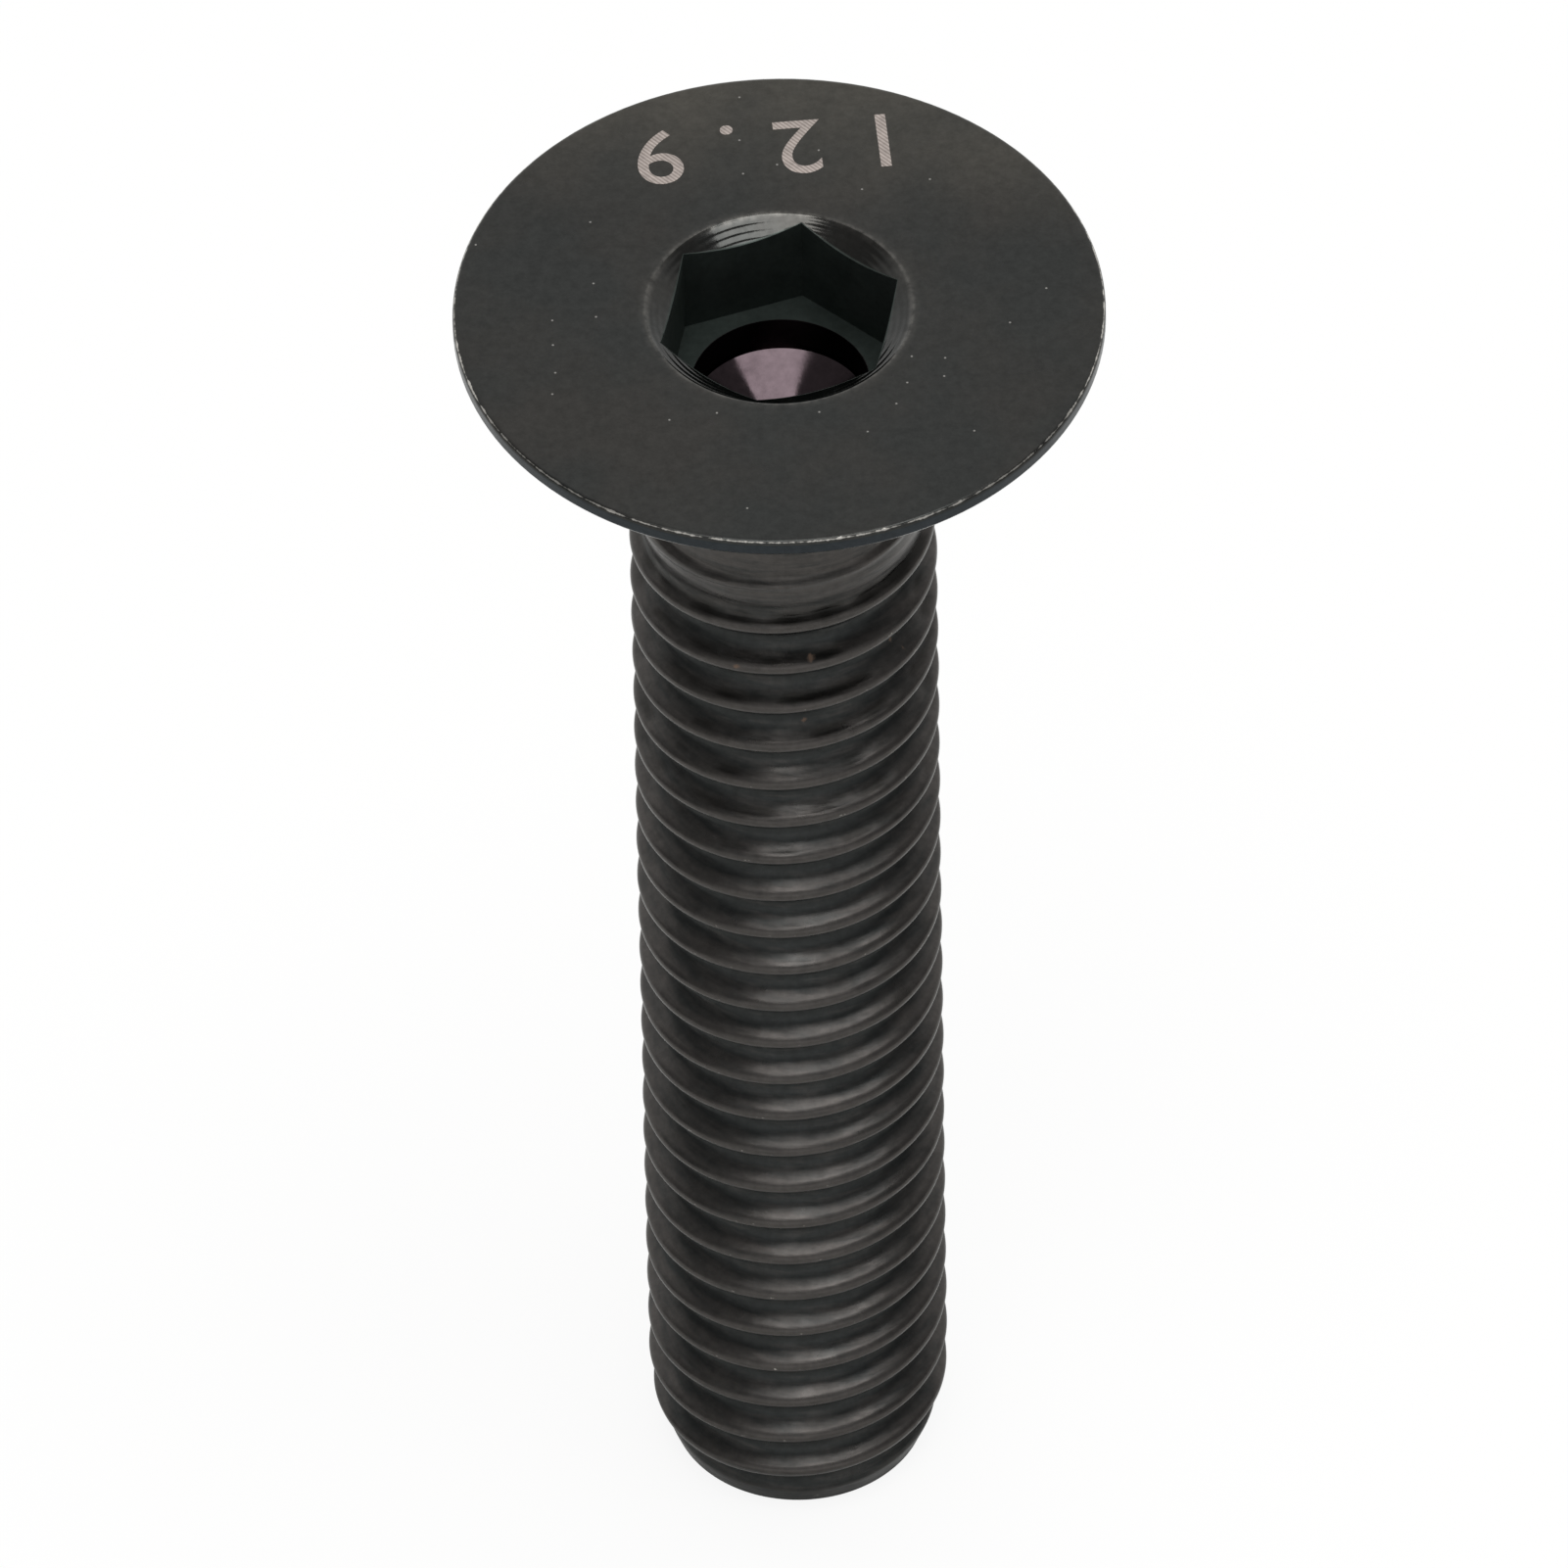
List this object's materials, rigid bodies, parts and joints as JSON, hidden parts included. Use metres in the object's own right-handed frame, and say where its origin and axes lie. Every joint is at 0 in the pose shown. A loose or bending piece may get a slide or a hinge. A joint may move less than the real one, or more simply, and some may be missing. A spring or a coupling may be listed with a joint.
{
  "type": "countersunk socket-head cap screw",
  "caption": "Black-oxided steel stem cap bolt with a flat countersunk head, a hex socket and a full-length metric thread.",
  "frame": {"origin": "centre of the flat end of the thread, which the bolt stands on", "axes": "+Z along the axis from the flat end to the head, -Y to the front, +X to the right"},
  "size_m": [0.012, 0.012, 0.03],
  "materials": {
    "black_oxide_steel": "black oxide over rolled and turned steel, oiled"
  },
  "bodies": {
    "root": {"bolt": "black_oxide_steel"}
  },
  "joints": []
}
